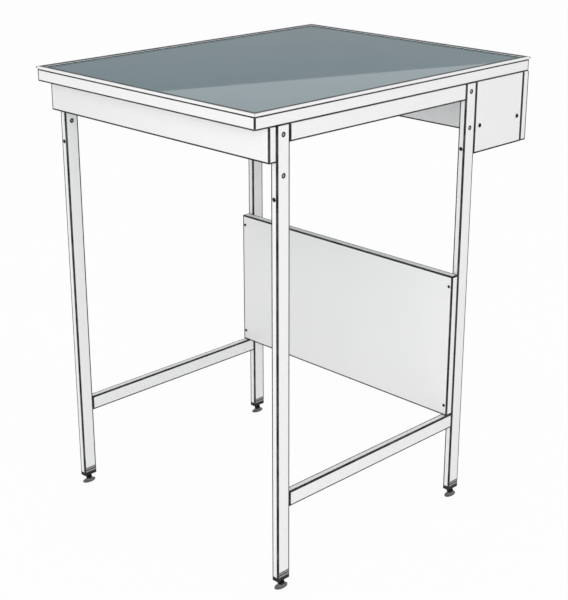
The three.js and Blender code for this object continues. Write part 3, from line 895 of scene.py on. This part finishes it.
def add_ribs():
    size = (RIB_PROUD + RIB_SEAT, RIB_LENGTH, RIB_HEIGHT)
    for corner in CORNERS:
        low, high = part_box(f"leg_cap_{corner}")
        middle = (low.y + high.y) / 2
        for face, sign in (("inner", -1), ("outer", 1)):
            x = (high.x if sign > 0 else low.x) + sign * (RIB_PROUD - RIB_SEAT) / 2
            for number, height in enumerate(RIB_LEVELS, 1):
                centre = (x, middle, low.z + height)
                mesh = trimmed_box(size, centre, **RIB_TRIM)
                rib = mesh_object(f"cap_rib_{corner}_{face}_{number}", mesh, [GREY_RIBS])
                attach(rib, "frame")
                smooth(rib)


# Camera
def camera_axes():
    turn = math.radians(CAMERA_TURN)
    dip = math.radians(CAMERA_DIP)
    level = math.cos(dip)
    forward = Vector((-math.sin(turn) * level, math.cos(turn) * level, -math.sin(dip)))
    right = Vector((math.cos(turn), math.sin(turn), 0))
    return forward, right, right.cross(forward)


def pixel_ray(pixel):
    forward, right, up = camera_axes()
    x = (pixel[0] - CENTRE_PIXEL[0]) / FOCAL_PIXELS
    y = (CENTRE_PIXEL[1] - pixel[1]) / FOCAL_PIXELS
    return forward + x * right + y * up


def add_camera():
    data = bpy.data.cameras.new("photo_camera")
    data.sensor_fit = "VERTICAL"
    data.sensor_height = SENSOR
    data.lens = FOCAL_PIXELS * SENSOR / IMAGE_HEIGHT
    data.shift_x = (IMAGE_WIDTH / 2 - CENTRE_PIXEL[0]) / IMAGE_HEIGHT
    data.shift_y = (CENTRE_PIXEL[1] - IMAGE_HEIGHT / 2) / IMAGE_HEIGHT
    data.clip_end = CAMERA_CLIP
    camera = bpy.data.objects.new("photo_camera", data)
    camera.location = CAMERA_PLACE
    camera.rotation_euler = (math.radians(90 - CAMERA_DIP), 0, math.radians(CAMERA_TURN))
    bpy.context.scene.collection.objects.link(camera)
    bpy.context.scene.camera = camera


# Stage
FLOOR_REACH = 30.0
FLOOR_LEVEL = -10.5 * MM  # just under the feet when they are screwed right out
FLOOR_GLOW = 0.94  # share of the floor's look that is plain white to the camera
FLAG_DISTANCE = 3.0
FLAG_OVERHANG = 6.0
FLAG_TONE = 0.53


def plane(name, corners, material):
    data = bpy.data.meshes.new(name)
    data.from_pydata([tuple(c) for c in corners], [], [tuple(range(len(corners)))])
    data.materials.append(material)
    piece = bpy.data.objects.new(name, data)
    bpy.context.scene.collection.objects.link(piece)
    return piece


def floor_material():
    """A pale floor that is nearly white to the camera, and still takes the object's shadow."""
    s = Shader("pale_floor")
    s.set(Base_Color=s.mix(s.noise(2.0), *FLOOR_TONES), Roughness=0.9)
    ray = s.add("ShaderNodeLightPath")
    seen = s.most(ray.outputs["Is Camera Ray"], ray.outputs["Is Glossy Ray"])
    glow = s.add("ShaderNodeEmission")
    mixer = s.add("ShaderNodeMixShader")
    s.link(s.times(seen, FLOOR_GLOW), mixer.inputs[0])
    s.link(s.surface.outputs[0], mixer.inputs[1])
    s.link(glow.outputs[0], mixer.inputs[2])
    s.link(mixer.outputs[0], s.output.inputs["Surface"])
    return s.material


def add_floor():
    r, z = FLOOR_REACH, FLOOR_LEVEL
    plane("studio_floor", [(-r, -r, z), (r, -r, z), (r, r, z), (-r, r, z)], floor_material())


def add_flag():
    """A grey board behind the table that only reflections see: its top ends the slab's glare."""
    slab_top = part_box("slab")[1].z
    mirrored = Vector((CAMERA_PLACE.x, CAMERA_PLACE.y, 2 * slab_top - CAMERA_PLACE.z))
    edge = []
    for pixel in GLARE_PIXELS:
        ray = pixel_ray(pixel)
        spot = CAMERA_PLACE + ray * ((slab_top - CAMERA_PLACE.z) / ray.z)
        edge.append(spot + (spot - mirrored).normalized() * FLAG_DISTANCE)
    along = (edge[1] - edge[0]).normalized() * FLAG_OVERHANG
    left, right = edge[0] - along, edge[1] + along
    s = Shader("grey_flag")
    glow = s.add("ShaderNodeEmission")
    glow.inputs["Color"].default_value = (FLAG_TONE, FLAG_TONE, FLAG_TONE, 1)
    s.link(glow.outputs[0], s.output.inputs["Surface"])
    floor = [Vector((p.x, p.y, FLOOR_LEVEL)) for p in (right, left)]
    flag = plane("grey_flag", [left, right, *floor], s.material)
    flag.visible_camera = False
    flag.visible_diffuse = False
    flag.visible_shadow = False
    flag.visible_transmission = False


# Light
WORLD_LIGHT = 0.78
LAMPS = {  # place, target and size in metres, power in watts
    "key": ((3.0, -3.0, 2.3), (0, 0, 0.5), 2.4, 49),
    "fill": ((1.3, -3.0, 0.75), (0, 0.2, 0.75), 1.4, 6.5),
}


def add_world():
    """Soft light from all sides. Straight, mirrored or through a gap it is plain white."""
    world = bpy.data.worlds.new("studio")
    bpy.context.scene.world = world
    world.use_nodes = True
    background = world.node_tree.nodes["Background"]
    background.inputs["Color"].default_value = (1, 1, 1, 1)
    w = Nodes(world.node_tree)
    ray = w.add("ShaderNodeLightPath")
    seen = w.most(ray.outputs["Is Camera Ray"], ray.outputs["Is Glossy Ray"])
    seen = w.most(seen, ray.outputs["Is Transmission Ray"])
    w.link(w.ramp(seen, 0.0, 1.0, WORLD_LIGHT, 1.0), background.inputs["Strength"])


def add_lamp(name, place, target, size, power):
    data = bpy.data.lights.new(name, "AREA")
    data.shape = "DISK"
    data.size = size
    data.energy = power
    lamp = bpy.data.objects.new(name, data)
    lamp.location = place
    lamp.rotation_euler = (Vector(target) - Vector(place)).to_track_quat("-Z", "Y").to_euler()
    bpy.context.scene.collection.objects.link(lamp)
    lamp.visible_glossy = False
    lamp.visible_camera = False


def add_lamps():
    for name, settings in LAMPS.items():
        add_lamp(name, *settings)


dress_cad_nodes()
add_boards()
add_screws()
add_bolts()
add_plugs()
add_pads()
add_spindles()
add_ribs()
add_camera()
add_floor()
add_flag()
add_world()
add_lamps()

bpy.context.scene.view_settings.view_transform = "Standard"
